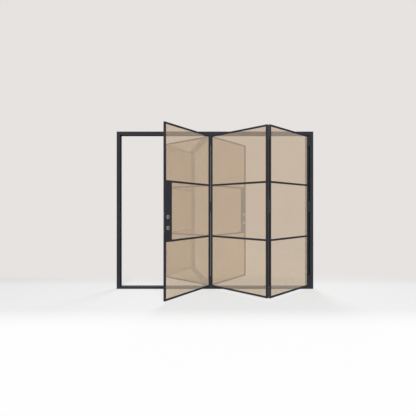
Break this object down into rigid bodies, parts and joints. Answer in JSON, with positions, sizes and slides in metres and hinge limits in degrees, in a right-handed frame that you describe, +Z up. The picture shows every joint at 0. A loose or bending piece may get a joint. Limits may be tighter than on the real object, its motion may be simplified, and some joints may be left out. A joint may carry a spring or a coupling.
{
  "type": "bifold glass patio door",
  "caption": "Glazed steel bifold patio door in its frame, with a folding pair half open, a lead leaf swung out, lift-off hinges, a top-hung carriage and a lock panel.",
  "frame": {"origin": "middle of the sill's underside, halfway through the frame's depth", "axes": "+X along the door to the right seen from outside, +Y into the room, +Z up"},
  "size_m": [3, 0.8152, 2.4],
  "materials": {
    "frame_paint": "satin dark grey powder coat",
    "hinge_paint": "satin dark grey powder coat",
    "pane_glass": "clear with a light warm tint",
    "rose_steel": "satin",
    "barrel_metal": "satin",
    "gear_steel": "satin",
    "track_aluminium": "dark anodised",
    "seal_rubber": "matt",
    "glide_plastic": "matt"
  },
  "bodies": {
    "root": {"left_jamb": "frame_paint", "right_jamb": "frame_paint", "head": "frame_paint", "sill": "frame_paint", "head_track": "track_aluminium", "sill_channel": "gear_steel", "weather_seals": "seal_rubber", "last_leaf_left_stile": "frame_paint", "last_leaf_right_stile": "frame_paint", "last_leaf_top_rail": "frame_paint", "last_leaf_bottom_rail": "frame_paint", "last_leaf_glazing_bars": "frame_paint", "last_leaf_glass": "pane_glass", "last_leaf_beads": "frame_paint", "middle_leaf_left_stile": "frame_paint", "middle_leaf_right_stile": "frame_paint", "middle_leaf_top_rail": "frame_paint", "middle_leaf_bottom_rail": "frame_paint", "middle_leaf_glazing_bars": "frame_paint", "middle_leaf_glass": "pane_glass", "middle_leaf_beads": "frame_paint", "lead_leaf_left_stile": "frame_paint", "lead_leaf_right_stile": "frame_paint", "lead_leaf_top_rail": "frame_paint", "lead_leaf_bottom_rail": "frame_paint", "lead_leaf_glazing_bars": "frame_paint", "lead_leaf_glass": "pane_glass", "lead_leaf_beads": "frame_paint", "lock_case": "frame_paint", "lock_roses": "rose_steel", "lock_barrels": "barrel_metal", "lock_faceplate": "hinge_paint", "lock_keep": "hinge_paint", "jamb_hinge_frame_flaps": "hinge_paint", "jamb_hinge_leaf_flaps": "hinge_paint", "fold_hinge_last_flaps": "hinge_paint", "fold_hinge_middle_flaps": "hinge_paint", "joint_hinge_middle_flaps": "hinge_paint", "joint_hinge_lead_flaps": "hinge_paint", "carriage_body": "gear_steel", "guide_pin": "gear_steel", "carriage_wheels": "glide_plastic", "guide_shoe": "glide_plastic"}
  },
  "joints": []
}
